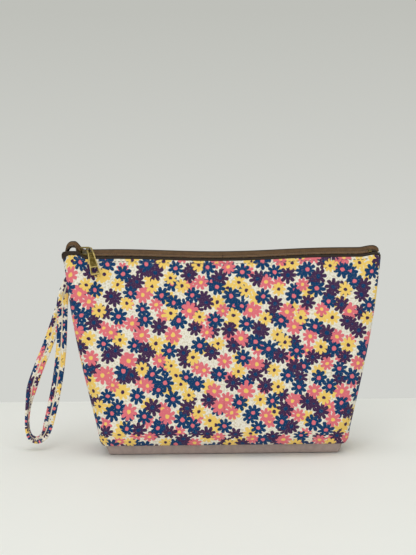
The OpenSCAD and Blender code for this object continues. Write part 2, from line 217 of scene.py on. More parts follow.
class PouchForm:
    """Soft surface of the bag, given by how far round it and how far up a point is.

    face is FRONT or BACK and end is LEFT or RIGHT. round_share runs from 0 at the middle of the
    face to 1 at the side seam. up runs from 0 on the floor to 1 at the canvas fold.
    """

    flat_share = 0.80
    corner_share = 0.90
    top_roundness = 0.31     # corner radius at the zipper, as a share of that at the base
    sag_reach = 90 * MM
    rise_run = (108 * MM, 119 * MM)      # where the right end rises, beyond the slider's travel
    fold_run = (107 * MM, 113 * MM)      # where the front fold stands up, left of the slider
    # direction, wave length and height of the cloth's slow ripples, the lengths in millimetres
    ripples = ((0.35, 61, 0.55), (-0.6, 43, 0.45), (1.2, 83, 0.4), (0.1, 29, 0.3))
    hem = 0.55 * MM
    hem_depth = 5 * MM
    seam_half = 1.3 * MM     # half width and depth of the hollow along each side seam
    seam_depth = 0.7 * MM
    bend_start = 0.5         # share of the bottom fold that slopes in, before it bends up
    off_floor = 0.5 * MM

    def __init__(self, shape):
        self.shape = shape
        self.slope = (END_HIGH.x - shape.half_base) / END_HIGH.z
        self.tilt = shape.band_tilt

    def band_point(self, x, across, above):
        """A point of the zipper band, across it towards the back and above it."""
        y = across * math.cos(self.tilt) - above * math.sin(self.tilt)
        z = self.shape.height + across * math.sin(self.tilt) + above * math.cos(self.tilt)
        return Vector((x, y, z + self.top_lift(x)))

    def top_lift(self, x):
        """Sag of the top edge in the middle and rise at its right end."""
        out = min(abs(x) / self.sag_reach, 1)
        sag = self.shape.sag * math.cos(math.pi * out / 2) ** 2
        return self.shape.right_rise * ramp(x, *self.rise_run) - sag

    def fold_lift(self, face, x):
        """Rise of the front canvas fold and its tape, left of the slider."""
        return self.shape.left_rise * ramp(-x, *self.fold_run) if face == FRONT else 0

    def half_length(self, z):
        return self.shape.half_base + self.slope * z

    def half_width(self, up):
        return mix(self.shape.half_depth, self.shape.band_half * math.cos(self.tilt), up)

    def outline(self, face, end, round_share, up, inset=0):
        """Point of the outline at one height, its outward direction and its distance round."""
        top_y = face * self.shape.band_half * math.cos(self.tilt)
        radius = self.shape.corner_radius * mix(1, self.top_roundness, up)
        half = self.half_width(up)
        flat = self.flat_share
        corner = self.corner_share
        z_face = up * (self.shape.height + top_y * math.tan(self.tilt))
        z_end = up * self.shape.height
        z = mix(z_face, z_end, ramp(round_share, flat, 1))
        long = self.half_length(z) - inset
        deep = half - inset
        bend = max(0.2 * MM, min(radius, half) - inset)
        if round_share <= flat:
            x = (long - bend) * round_share / flat
            point = Vector((end * x, face * deep, z))
            outward = Vector((0, face, 0))
            run = x
        elif round_share <= corner:
            angle = (round_share - flat) / (corner - flat) * math.pi / 2
            outward = Vector((end * math.sin(angle), face * math.cos(angle), 0))
            point = Vector((end * (long - bend), face * (deep - bend), z)) + outward * bend
            run = long - bend + bend * angle
        else:
            share = (round_share - corner) / (1 - corner)
            point = Vector((end * long, face * (deep - bend) * (1 - share), z))
            outward = Vector((end, 0, 0))
            run = long - bend + bend * math.pi / 2 + (deep - bend) * share
        return point, outward, end * run

    def fold_size(self, outward):
        """Depth, height and lift of the bottom fold in one direction."""
        facing = outward.y * outward.y
        return [mix(at_end, at_face, facing)
                for at_end, at_face in zip(self.shape.end_fold, self.shape.face_fold)]

    def swell(self, face, x, z, outward):
        """How far the cloth stands out from the plain form, or in where it is less than nothing."""
        up = z / self.shape.height
        wall = min(1, max(0, up))
        facing = outward.y * outward.y
        across = min(1, abs(x) / self.half_length(z))
        # the cloth ripples where it is free, away from the bottom fold and the zipper
        open_cloth = ramp(up, 0.02, 0.2) * (1 - ramp(up, 0.86, 0.99))
        bow = self.shape.belly * math.sin(math.pi * wall ** 0.75) * (1 - across ** 3)
        bow_end = self.shape.end_bow * (1 - facing) * math.sin(math.pi * wall ** 1.3)
        ripple = 0
        for turn, wave, size in self.ripples:
            run = x * math.cos(turn) + z * math.sin(turn)
            ripple += size * MM * math.sin(run / (wave * MM) * 2 * math.pi + turn * 9 + face)
        creases = sum(crease(x, z) for crease in CREASES[face])
        return bow * facing + bow_end + (ripple * open_cloth + creases) * facing

    def wall_point(self, face, end, round_share, climb, inset=0):
        """Point of a wall and its place on the cloth. climb counts 0 to 1 round the bottom fold
        from the floor to the wall, 1 to 2 up the wall, and 2 to 3 over the hem and down inside."""
        outward = self.outline(face, end, round_share, 0)[1]
        top = self.outline(face, end, round_share, 1)[0]
        fold_up = sum(self.fold_size(outward)[1:]) / top.z
        if climb <= 1:
            return self.fold_point(face, end, round_share, climb, inset, fold_up)
        climbed = min(climb, 2) - 1
        up = mix(fold_up, 1, climbed)
        point, outward, run = self.outline(face, end, round_share, up, inset)
        cloth_up = self.shape.half_depth + point.z
        point += outward * self.swell(face, point.x, point.z, outward)
        point -= outward * self.seam_depth * hump(point.y, 0, self.seam_half) * outward.x * outward.x
        point.z += self.top_lift(point.x) * up * up
        drop = self.shape.back_drop if face == BACK else -self.fold_lift(face, point.x)
        drop = mix(drop, self.shape.end_drop, ramp(round_share, self.flat_share, self.corner_share))
        point.z -= drop * ramp(climbed, 0.8, 1)
        if climb > 2:
            over = climb - 2
            turned = min(1, over / 0.5) * math.pi
            point -= outward * self.hem * (1 - math.cos(turned))
            point.z += self.hem * math.sin(turned) - self.hem_depth * max(0, over - 0.5) / 0.5
            cloth_up += 2 * MM * over
        return point, Vector((run, cloth_up))

    def fold_point(self, face, end, round_share, climb, inset, fold_up):
        """Point of the bottom fold: a round bend from the wall, then a slope in to the floor."""
        point, outward, run = self.outline(face, end, round_share, fold_up, inset)
        depth, rise, lift = self.fold_size(outward)
        bend = self.bend_start
        reach = 0
        if climb >= bend:
            angle = (1 - climb) / (1 - bend) * math.pi / 2
            height = lift + rise * (1 - math.sin(angle)) + inset
            firm = math.cos(angle)
        else:
            angle = math.pi / 2
            slope = 1 - climb / bend
            reach = self.shape.tuck * slope
            height = mix(lift, self.off_floor, ramp(slope, 0, 1)) + inset
            firm = 0
        swell = self.swell(face, point.x, point.z, outward) * firm
        point += outward * (swell - depth * (1 - math.cos(angle)) - reach)
        point.z = height
        cloth_up = self.shape.half_depth + mix(height, -reach * 0.3, math.sin(angle) * 0.5)
        if climb < bend:
            cloth_up -= reach
        return point, Vector((run, cloth_up))


def dent(x, z, wide, high, deep):
    """A hollow pressed into the cloth. All lengths are in millimetres."""
    return lambda px, pz: -deep * MM * hump(px, x * MM, wide * MM) * hump(pz, z * MM, high * MM)


def fold_line(x0, z0, x1, z1, wide, deep):
    """A crease along a line, with a soft ridge beside it. All lengths are in millimetres."""
    start = Vector((x0, z0)) * MM
    along = Vector((x1 - x0, z1 - z0)) * MM
    reach = along.length

    def push(px, pz):
        offset = Vector((px, pz)) - start
        run = offset.dot(along) / reach
        side = (along.x * offset.y - along.y * offset.x) / reach
        ends = ramp(run, -0.15 * reach, 0.2 * reach) * (1 - ramp(run, 0.8 * reach, 1.15 * reach))
        ridge = 0.7 * hump(side, -1.6 * wide * MM, wide * MM)
        return deep * MM * ends * (ridge - hump(side, 0, wide * MM))

    return push


# hollows and creases of each face, by place and size in millimetres
CREASES = {
    FRONT: (dent(-88, 33, 6, 9, 2.4), fold_line(52, 9, 98, 22, 3.2, 2.4),
            fold_line(-99, 24, -78, 40, 3.0, 1.0), fold_line(84, 66, 104, 30, 5, 1.0),
            dent(-20, 128, 34, 12, 0.8), dent(60, 118, 26, 16, 1.0), dent(-70, 100, 20, 26, 0.8)),
    BACK: (dent(84, 30, 8, 10, 2.0), fold_line(-98, 20, -56, 10, 3.4, 2.0),
           fold_line(70, 50, 100, 28, 4.0, 1.4), dent(10, 120, 40, 14, 1.0)),
}


# ---- making meshes -------------------------------------------------------------------

def shaped_grid(columns, rows, place):
    """A grid moved point by point to place(across, up), which also gives the cloth map."""
    mesh = bmesh.new()
    bmesh.ops.create_grid(mesh, x_segments=columns, y_segments=rows, size=0.5)
    cloth_map = mesh.loops.layers.uv.new(CLOTH_MAP)
    placed = {vert: place(vert.co.x + 0.5, vert.co.y + 0.5) for vert in mesh.verts}
    for face in mesh.faces:
        for loop in face.loops:
            loop[cloth_map].uv = placed[loop.vert][1]
    for vert, (point, _cloth) in placed.items():
        vert.co = point
    return mesh


def face_outwards(mesh, core):
    """Turns an open sheet so that its faces look away from core(point)."""
    mesh.normal_update()
    lean = sum(face.normal.dot(face.calc_center_median() - core(face.calc_center_median()))
               * face.calc_area() for face in mesh.faces)
    if lean < 0:
        bmesh.ops.reverse_faces(mesh, faces=mesh.faces[:])


def bag_core(point):
    return Vector((point.x * 0.8, 0, point.z + 1 * MM))


def keep_piece(mesh, name, material, stands_for=(), thickness=0, offset=-1):
    """Turns a bmesh into a smooth shaded piece of the pouch, thickened if it is an open sheet."""
    data = bpy.data.meshes.new(name)
    mesh.to_mesh(data)
    mesh.free()
    for polygon in data.polygons:
        polygon.use_smooth = True
    piece = bpy.data.objects.new(name, data)
    bpy.context.scene.collection.objects.link(piece)
    data.materials.append(material)
    if stands_for:
        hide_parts(*stands_for)
    if thickness:
        solidify = piece.modifiers.new("Thickness", "SOLIDIFY")
        solidify.thickness = thickness
        solidify.offset = offset
    return piece


def keep_quarter(mesh, part, end_part, face, end, material, thickness=0):
    """Keeps one quarter of a part, with its transform baked in. The left quarters stand for the CAD's
    long nodes, the front ones for its ends."""
    nodes = [f"{FACE_NAME[face]}_{part}"] if end == LEFT else []
    if face == FRONT:
        nodes.append(f"{END_NAME[end]}_{end_part}")
    name = f"{part}_{FACE_NAME[face]}_{END_NAME[end]}"
    piece = keep_piece(mesh, name, material, nodes, thickness)
    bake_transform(piece)


def add_bead(mesh, place, turned, half_sizes, rings=6, around=6):
    """Adds a round bead of thread."""
    matrix = Matrix.Translation(place) @ turned @ Matrix.Diagonal((*half_sizes, 1))
    bmesh.ops.create_uvsphere(mesh, u_segments=around, v_segments=rings, radius=1, matrix=matrix)


# ---- finishes ------------------------------------------------------------------------

class Finish:
    """A material being built, with short ways to add nodes and join them."""

    def __init__(self, name):
        self.material = bpy.data.materials.new(name)
        self.material.use_nodes = True
        self.tree = self.material.node_tree
        self.shader = self.tree.nodes["Principled BSDF"]

    def put(self, kind, inputs=None, **settings):
        """A new node. Inputs are values or sockets by name or number."""
        node = self.tree.nodes.new(kind)
        for key, value in settings.items():
            setattr(node, key, value)
        for key, value in (inputs or {}).items():
            self.feed(node.inputs[key], value)
        return node

    def feed(self, socket, value):
        if isinstance(value, bpy.types.NodeSocket):
            self.tree.links.new(value, socket)
        elif socket.type == "RGBA" and len(value) == 3:
            socket.default_value = (*value, 1)
        else:
            socket.default_value = value

    def sum(self, operation, *values):
        node = self.put("ShaderNodeMath", dict(enumerate(values)), operation=operation)
        return node.outputs[0]

    def shift(self, operation, first, second):
        node = self.put("ShaderNodeVectorMath", {0: first, 1: second}, operation=operation)
        return node.outputs[0]

    def parts(self, vector):
        return self.put("ShaderNodeSeparateXYZ", {0: vector}).outputs

    def cloth(self):
        return self.put("ShaderNodeUVMap", uv_map=CLOTH_MAP).outputs[0]

    def place(self):
        return self.put("ShaderNodeTexCoord").outputs["Object"]

    def noise(self, vector, scale, detail=2.0):
        inputs = {"Vector": vector, "Scale": scale, "Detail": detail}
        return self.put("ShaderNodeTexNoise", inputs).outputs[0]

    def between(self, value, low, high, to_low=0.0, to_high=1.0):
        inputs = {0: value, 1: low, 2: high, 3: to_low, 4: to_high}
        return self.put("ShaderNodeMapRange", inputs, interpolation_type="SMOOTHSTEP").outputs[0]

    def mottle(self, vector, scale, detail=2.0):
        """Soft patches between 0 and 1."""
        return self.between(self.noise(vector, scale, detail), 0.3, 0.7)

    def wave(self, value, pitch):
        return self.sum("SINE", self.sum("MULTIPLY", value, 2 * math.pi / pitch))

    def shaded(self, share, colour, first, second=1):
        """One colour at two levels, mixed."""
        return self.colour(share, toned(colour, first), toned(colour, second))

    def colour(self, share, first, second):
        node = self.put("ShaderNodeMix", data_type="RGBA")
        for socket, value in zip((node.inputs[0], node.inputs[6], node.inputs[7]),
                                 (share, first, second)):
            self.feed(socket, value)
        return node.outputs[2]

    def look(self, colour, roughness, bump=None, bump_size=0.1 * MM, **sockets):
        """Joins the finish to the shader. Other sockets are named as on the shader."""
        self.feed(self.shader.inputs["Base Color"], colour)
        self.feed(self.shader.inputs["Roughness"], roughness)
        if bump is not None:
            inputs = {"Height": bump, "Distance": bump_size, "Strength": 0.7}
            normal = self.put("ShaderNodeBump", inputs).outputs[0]
            self.feed(self.shader.inputs["Normal"], normal)
        for name, value in sockets.items():
            self.feed(self.shader.inputs[name.replace("_", " ")], value)
        return self.material


def weave(finish, cloth, pitch):
    """Height of a plain weave: threads pass over and under each other at the given pitch."""
    across, up = (finish.wave(part, 2 * pitch) for part in finish.parts(cloth)[:2])
    return finish.sum("MULTIPLY", across, up)


class Daisies:
    """One layer of round flowers scattered over the cloth, eight club-shaped petals to a flower.

    The kinds take turns from cell to cell, with some chance in it, so that they stay well mixed.
    """

    petals = 8
    petal_middle = 3.9 * MM
    petal_half_long = 2.7 * MM
    petal_half_wide = 1.4 * MM
    club = 0.15              # how much wider a petal gets from its middle to its tip
    body = 3.6 * MM
    eye = 1.6 * MM
    randomness = 0.46        # how far flowers stray from their rows
    uneven_edge = 0.3 * MM
    sizes = (0.93, 1.07)
    small_from = 0.60        # kinds picked above this are smaller
    small_by = 0.13
    along_power, aside_power = 2.6, 2.2      # how square a petal's outline is
    order_steps = (2.0, 1.3, 0.25)           # turns per row, chance, and kinds in one round

    def __init__(self, finish, cloth, cell, turn, offset, size=1.0, nearest="F1"):
        self.finish = finish
        finish_sum = finish.sum
        moved = {"Vector": cloth, "Rotation": (0, 0, turn), "Location": (offset, offset * 0.37, 0)}
        turned = finish.put("ShaderNodeMapping", moved).outputs[0]
        scale = 1 / cell
        inputs = {"Vector": turned, "Scale": scale, "Randomness": self.randomness}
        cells = finish.put("ShaderNodeTexVoronoi", inputs, voronoi_dimensions="2D", feature=nearest)
        middle = cells.outputs["Position"]
        local = finish.shift("SUBTRACT", turned, middle)
        across, up = finish.parts(local)[:2]
        picks = finish.put("ShaderNodeSeparateColor", {0: cells.outputs["Color"]}).outputs
        self.pick = self.kind_order(middle, scale, picks[1])

        wobble = finish.between(finish.noise(cloth, 420.0), 0.3, 0.7, -self.uneven_edge,
                                self.uneven_edge)
        far = finish.put("ShaderNodeVectorMath", {0: local}, operation="LENGTH").outputs["Value"]
        grown = finish.between(picks[2], 0.0, 1.0, *(size * share for share in self.sizes))
        small = finish_sum("GREATER_THAN", self.pick, self.small_from)
        grown = finish_sum("MULTIPLY", grown, finish_sum("MULTIPLY_ADD", small, -self.small_by, 1.0))
        far = finish_sum("DIVIDE", finish_sum("ADD", far, wobble), grown)

        start = finish_sum("MULTIPLY", picks[0], 2 * math.pi)
        angle = finish_sum("ADD", finish_sum("ARCTAN2", up, across), start)
        wedge = 2 * math.pi / self.petals
        angle = finish_sum("SUBTRACT", finish_sum("FLOORED_MODULO", angle, wedge), wedge / 2)
        along = finish_sum("MULTIPLY", far, finish_sum("COSINE", angle))
        along = finish_sum("SUBTRACT", along, self.petal_middle)
        along = finish_sum("DIVIDE", along, self.petal_half_long)
        aside = finish_sum("MULTIPLY", far, finish_sum("SINE", angle))
        club = finish_sum("MULTIPLY_ADD", along, self.club * self.petal_half_wide,
                          self.petal_half_wide)
        aside = finish_sum("DIVIDE", aside, club)
        reach = finish_sum("ADD", *(finish_sum("POWER", finish_sum("ABSOLUTE", value), power)
                                    for value, power in ((along, self.along_power),
                                                         (aside, self.aside_power))))
        petal = finish_sum("LESS_THAN", reach, 1.0)
        self.petal = finish_sum("MAXIMUM", petal, finish_sum("LESS_THAN", far, self.body))
        self.heart = finish_sum("LESS_THAN", far, self.eye)

    def kind_order(self, middle, scale, chance):
        """A number from 0 to 1 for each flower, which goes round from cell to cell."""
        finish = self.finish
        per_row, chance_share, step = self.order_steps
        index = finish.shift("MULTIPLY", middle, (scale, scale, scale))
        index = finish.put("ShaderNodeVectorMath", {0: index}, operation="FLOOR").outputs[0]
        index = finish.parts(index)
        order = finish.sum("MULTIPLY_ADD", index[1], per_row, index[0])
        order = finish.sum("MULTIPLY_ADD", chance, chance_share, order)
        return finish.sum("FRACT", finish.sum("MULTIPLY", order, step))

    def over(self, below, kinds):
        """Paints the layer over the colours below. kinds lists, in rising order of pick, the upper
        bound of each kind with its petal and heart colours. Above the last bound a cell is empty."""
        finish = self.finish
        petal_colour, heart_colour = kinds[0][1:]
        for (bound, _petal, _heart), (_next, petal, heart) in zip(kinds, kinds[1:]):
            share = finish.sum("GREATER_THAN", self.pick, bound)
            petal_colour = finish.colour(share, petal_colour, petal)
            heart_colour = finish.colour(share, heart_colour, heart)
        there = finish.sum("LESS_THAN", self.pick, kinds[-1][0])
        flower = finish.colour(finish.sum("MULTIPLY", self.petal, there), below, petal_colour)
        return finish.colour(finish.sum("MULTIPLY", self.heart, there), flower, heart_colour)


GROUND_STAIN = (0.78, 0.74, 0.62)    # red, green and blue of the canvas's darker flecks
UPPER_LAYER = (0.5, 97 * MM)         # turn and offset of a layer of flowers
UNDER_LAYER = (1.9, 41 * MM)
UNDER_SPREAD, UNDER_SIZE = 1.15, 0.95
BARE_THREADS = 0.2                   # how far the ground shows through the print at its barest


def printed_canvas(name, colours, cell=11.5 * MM, size=1.0, sewn_width=None):
    """Off-white canvas with a small all-over flower print. With a sewn width it is a folded strap
    of that width, with a light line along its middle."""
    finish = Finish(name)
    cloth = finish.cloth()
    blue, purple, pink, yellow = colours.blue, colours.purple, colours.pink, colours.yellow
    under_kinds = [(0.18, blue, pink), (0.36, purple, blue), (0.60, yellow, purple),
                   (0.84, pink, yellow)]
    kinds = [(0.30, blue, pink), (0.54, purple, blue), (0.77, pink, yellow), (0.98, yellow, purple)]
    shade = finish.between(finish.noise(cloth, 700.0, 3.0), 0.42, 0.66)
    stain = tuple(channel * level for channel, level in zip(colours.ground, GROUND_STAIN))
    cream = finish.colour(shade, colours.ground, stain)
    under = Daisies(finish, cloth, cell * UNDER_SPREAD, *UNDER_LAYER, size=UNDER_SIZE * size)
    print_colour = under.over(cream, under_kinds)
    for nearest in ("F2", "F1"):
        flowers = Daisies(finish, cloth, cell, *UPPER_LAYER, size=size, nearest=nearest)
        print_colour = flowers.over(print_colour, kinds)
    threads = weave(finish, cloth, 0.55 * MM)
    flecks = finish.sum("MULTIPLY_ADD", threads, 0.08, finish.noise(cloth, 1300.0, 1.0))
    bare = finish.between(flecks, 0.60, 0.76, 0.0, BARE_THREADS)
    print_colour = finish.colour(bare, print_colour, cream)
    if sewn_width:
        across = finish.sum("FLOORED_MODULO", finish.parts(cloth)[1], sewn_width)
        aside = finish.sum("ABSOLUTE", finish.sum("SUBTRACT", across, sewn_width / 2))
        line = finish.between(aside, 0.4 * MM, 0.6 * MM, 0.9, 0.0)
        print_colour = finish.colour(line, print_colour, colours.thread)
    height = finish.sum("MULTIPLY_ADD", finish.noise(cloth, 500.0, 2.0), 0.8, threads)
    return finish.look(print_colour, 0.86, height, 0.12 * MM, Sheen_Weight=0.05,
                       Specular_IOR_Level=0.2)


def plain_cloth(name, colour, pitch=0.5 * MM, dark=0.8):
    """Plain woven cloth, a little uneven in colour, with painted shade where the threads dip."""
    finish = Finish(name)
    cloth = finish.cloth()
    shade = finish.shaded(finish.mottle(cloth, 260.0, 4.0), colour, dark)
    threads = weave(finish, cloth, pitch)
    # painted shade: the cloth darkens towards half its colour where the threads are low
    low = finish.between(threads, -1.0, 1.0, 0.25, 0.0)
    shade = finish.colour(low, shade, toned(colour, 0.5))
    return finish.look(shade, 0.88, threads, 0.08 * MM, Specular_IOR_Level=0.2)


def ribbed_tape(name, colour):
    """Zipper tape: narrow herringbone ribs along the tape with painted shade in their hollows, and a
    painted shadow line beside the coil.
    """
    finish = Finish(name)
    cloth = finish.cloth()
    along, aside = finish.parts(cloth)[:2]
    out = finish.sum("ABSOLUTE", aside)
    twill = finish.wave(finish.sum("ADD", along, out), 0.7 * MM)
    height = finish.sum("MULTIPLY_ADD", twill, 0.45, finish.wave(aside, 0.9 * MM))
    # painted shade: the tape is darker where its ribs are low
    shade = finish.shaded(finish.between(height, -1.2, 1.2), colour, 0.45)
    uneven = finish.between(finish.noise(cloth, 300.0, 3.0), 0.25, 0.75, 0.0, 0.35)
    shade = finish.colour(uneven, shade, toned(colour, 1.6))
    out = finish.sum("DIVIDE", out, TAPE_CLOTH)
    # painted shadow: where line is below 1 the tape darkens towards 0.15 of its colour, for the shade in
    # the dip between coil and bead
    line = finish.sum("MULTIPLY", finish.between(out, 0.20, 0.27), finish.between(out, 0.39, 0.33))
    shade = finish.colour(line, toned(colour, 0.15), shade)
    return finish.look(shade, 0.6, height, 0.12 * MM, Specular_IOR_Level=0.4)


def coil_nylon(name, colour):
    """Smooth nylon strand with slight changes of colour along it."""
    finish = Finish(name)
    uneven = finish.mottle(finish.place(), 500.0)
    shade = finish.shaded(uneven, colour, 0.7, 1.25)
    return finish.look(shade, finish.between(uneven, 0.0, 1.0, 0.38, 0.5), Specular_IOR_Level=0.5)


def antique_brass(name, hollow, edge, rim=None):
    """Aged brass, dark in the hollows and rubbed bright at the rim, with fine scratches.

    rim is a function that gives the bright share from the finish: rubbed wear and painted highlight along
    raised rims. Without it the rubbing is patchy.
    """
    finish = Finish(name)
    place = finish.place()
    patches = finish.noise(place, 420.0, 5.0)
    stretched = finish.put("ShaderNodeMapping", {"Vector": place, "Scale": (1, 1, 9)}).outputs[0]
    scratches = finish.noise(stretched, 1600.0, 2.0)
    rub_and_highlight = finish.between(finish.sum("MULTIPLY_ADD", scratches, 0.25, patches), 0.52, 0.84, 0.0, 0.75)
    # with rim, the bright share is rubbed wear and painted highlight along the rims
    if rim:
        rub_and_highlight = finish.sum("MAXIMUM", finish.sum("MULTIPLY", rub_and_highlight, 0.35), rim(finish))
    shade = finish.colour(rub_and_highlight, hollow, edge)
    rough = finish.between(patches, 0.3, 0.7, 0.5, 0.32)
    return finish.look(shade, rough, scratches, 0.03 * MM, Metallic=1.0)


def sewing_thread(name, colour):
    """Twisted sewing thread, with painted shade in the grooves of its twist."""
    finish = Finish(name)
    along, _aside, up = finish.parts(finish.place())
    twist = finish.wave(finish.sum("ADD", along, up), 0.5 * MM)
    # painted shade: the thread is darker in the grooves of its twist
    shade = finish.shaded(finish.between(twist, -1.0, 1.0), colour, 0.7)
    return finish.look(shade, 0.7, twist, 0.06 * MM, Sheen_Weight=0.2)


def painted_board(name, colour, spread):
    """Smooth painted surface with a faint change of shade."""
    finish = Finish(name)
    place = finish.place()
    shade = finish.shaded(finish.mottle(place, 6.0, 3.0), colour, 1 - spread)
    return finish.look(shade, 0.6, finish.noise(place, 300.0), 0.02 * MM, Specular_IOR_Level=0.3)


# ---- the pieces ------------------------------------------------------------------------

class PieceBuilder:
    """What every operator starts from: the sizes, the colours and the form of the bag."""

    bl_options = {"REGISTER", "UNDO"}

    def execute(self, context):
        scene = context.scene
        self.shape = scene.pouch_shape
        self.zipper = scene.pouch_zipper
        self.strap = scene.pouch_strap
        self.colours = scene.pouch_colours
        self.look = scene.pouch_stage
        self.form = PouchForm(self.shape)
        self.build()
        return {"FINISHED"}


class POUCH_OT_canvas(PieceBuilder, bpy.types.Operator):
    """Makes the four printed quarters of the walls and the plain base, whose colour is painted shade for
    the strip under the raised front fold
    """

    bl_idname = "pouch.canvas"
    bl_label = "Canvas"

    fold_split = 0.5         # where the wall's cloth passes to the base, round the bottom fold
    base_overlap = 0.09      # how much further round the fold the base reaches, inside the wall
    hem_start = 0.93         # how far up the grid the hem begins

    def build(self):
        canvas = printed_canvas("Printed canvas", self.colours)
        for face, end in QUARTERS:
            self.wall(face, end, canvas)
        # painted shade: the plain base cloth stands in for the shadow strip under the raised front fold
        self.base(plain_cloth("Base cloth in painted shade", self.colours.base, pitch=0.6 * MM, dark=0.85))

    def wall(self, face, end, canvas):
        def place(across, up):
            if up < self.hem_start:
                climb = mix(self.fold_split, 2, up / self.hem_start)
            else:
                climb = 2 + (up - self.hem_start) / (1 - self.hem_start)
            return self.form.wall_point(face, end, across, climb)

        mesh = shaped_grid(96, 100, place)
        face_outwards(mesh, bag_core)
        keep_quarter(mesh, "canvas", "side_canvas", face, end, canvas,
                     self.shape.cloth_thickness)

    def base(self, cloth):
        mesh = underside(self.form, self.fold_split + self.base_overlap, 0.5 * MM, 0)
        piece = keep_piece(mesh, "canvas_base", cloth, ["base_canvas"],
                           self.shape.cloth_thickness)
        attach(piece, "pouch_body")


def underside(form, first_climb, first_inset, inset):
    """A sheet that closes the bag below the bottom fold, from inside the walls to the middle."""
    whole = bmesh.new()
    rim = 0.4
    spine = 0.66
    ridge = 0.5 * MM
    ridge_width = 0.9 * MM

    def add_quarter(face, end):
        def place(across, up):
            if up < rim:
                climb = mix(first_climb, 0, up / rim)
                return form.wall_point(face, end, across, climb, mix(first_inset, inset, up / rim))
            point, cloth = form.wall_point(face, end, across, 0, inset)
            inward = (up - rim) / (1 - rim)
            point = point.lerp(Vector((point.x * spine, 0, point.z)), inward)
            point.z += ridge * hump(point.y, 0, ridge_width) * ramp(inward, 0.8, 1)
            return point, Vector((point.x, cloth.y - abs(point.y) * inward))

        quarter = shaped_grid(96, 50, place)
        scrap = bpy.data.meshes.new("base_quarter")
        quarter.to_mesh(scrap)
        quarter.free()
        whole.from_mesh(scrap)
        bpy.data.meshes.remove(scrap)

    for face, end in QUARTERS:
        add_quarter(face, end)
    bmesh.ops.remove_doubles(whole, verts=whole.verts[:], dist=0.02 * MM)
    bmesh.ops.recalc_face_normals(whole, faces=whole.faces[:])
    if sum(face.normal.z * face.calc_area() for face in whole.faces) > 0:
        bmesh.ops.reverse_faces(whole, faces=whole.faces[:])
    return whole


class POUCH_OT_lining(PieceBuilder, bpy.types.Operator):
    """Makes the plain lining: four quarters of the walls and the floor of the bag"""

    bl_idname = "pouch.lining"
    bl_label = "Lining"

    depth = 1.9 * MM
    thickness = 0.3 * MM
    lowest, highest = 0.55, 1.955    # from the bottom fold to just below the hem

    def build(self):
        lining = plain_cloth("Lining cloth", self.colours.lining)
        for face, end in QUARTERS:
            self.wall(face, end, lining)
        self.floor(lining)

    def wall(self, face, end, lining):
        def place(across, up):
            climb = mix(self.lowest, self.highest, up)
            return self.form.wall_point(face, end, across, climb, self.depth)

        mesh = shaped_grid(60, 50, place)
        face_outwards(mesh, bag_core)
        keep_quarter(mesh, "lining", "side_lining", face, end, lining, self.thickness)

    def floor(self, lining):
        mesh = underside(self.form, 0.6, self.depth + 0.8 * MM, self.depth)
        bmesh.ops.reverse_faces(mesh, faces=mesh.faces[:])
        piece = keep_piece(mesh, "lining_floor", lining, ["base_lining"],
                           self.thickness, offset=1)
        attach(piece, "pouch_body")


class POUCH_OT_seams(PieceBuilder, bpy.types.Operator):
    """Makes the pressed seam edges between canvas and lining"""

    bl_idname = "pouch.seams"
    bl_label = "Seam edges"

    half_width = 6 * MM
    depth = 1.1 * MM
    thickness = 0.3 * MM

    def build(self):
        edges = plain_cloth("Cut canvas edges", self.colours.ground, pitch=0.6 * MM, dark=0.7)
        for end in (LEFT, RIGHT):
            self.side(end, edges)
            nodes = ["corner_seams"] if end == LEFT else []
            self.strip(f"corner_seam_{END_NAME[end]}", nodes, edges, (4, 24), end,
                       (66 * MM, 72 * MM), (-self.half_width, self.half_width),
                       lambda x, y: 1.25 * MM + 0.1 * MM * math.sin(y / MM))
        low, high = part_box("bottom_seam")
        half_long = self.shape.half_base - 22 * MM
        self.strip("seam_bottom", ["bottom_seam"], edges, (80, 6), RIGHT,
                   (-half_long, half_long), (low.y, high.y),
                   lambda x, y: high.z - 0.2 * MM + 0.08 * MM * math.sin(x / (3 * MM)))

    def side(self, end, edges):
        def place(across, up):
            face = FRONT if across < 0.5 else BACK
            share = 1 - 0.045 * abs(2 * across - 1)
            return self.form.wall_point(face, end, share, mix(1.02, 1.93, up), self.depth)

        mesh = shaped_grid(8, 50, place)
        face_outwards(mesh, lambda point: Vector((0, 0, point.z)))
        piece = keep_piece(mesh, f"seam_{END_NAME[end]}", edges,
                           [f"{END_NAME[end]}_side_seam"], self.thickness)
        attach(piece, "pouch_body")

    def strip(self, name, nodes, edges, parts, end, x_range, y_range, height):
        """A seam edge that lies nearly flat on the base, at height(x, y)."""
        def place(across, up):
            x = mix(*x_range, across)
            y = mix(*y_range, up)
            return Vector((end * x, y, height(x, y))), Vector((x, y))

        mesh = shaped_grid(*parts, place)
        face_outwards(mesh, lambda point: point - Vector((0, 0, 1)))
        piece = keep_piece(mesh, name, edges, nodes, self.thickness)
        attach(piece, "pouch_body")


class POUCH_OT_tape(PieceBuilder, bpy.types.Operator):
    """Makes the woven zipper tapes"""

    bl_idname = "pouch.tape"
    bl_label = "Zipper tapes"

    def build(self):
        tape = ribbed_tape("Woven tape", self.colours.tape)
        for face, end in QUARTERS:
            self.half_tape(face, end, tape)

    def half_tape(self, face, end, tape):
        mesh = shaped_grid(150, 26, lambda across, up: tape_point(self, face, end, across, up))
        face_outwards(mesh, lambda point: Vector((point.x, face * 3 * MM, point.z - 20 * MM)))
        keep_quarter(mesh, "tape", "tape_ends", face, end, tape, self.zipper.tape_thickness)


TAPE_CLOTH = 22 * MM         # width of tape from the coil to its sewn edge, on the cloth map
END_ROUND = 5.5 * MM         # how far from its end a tape begins to round off
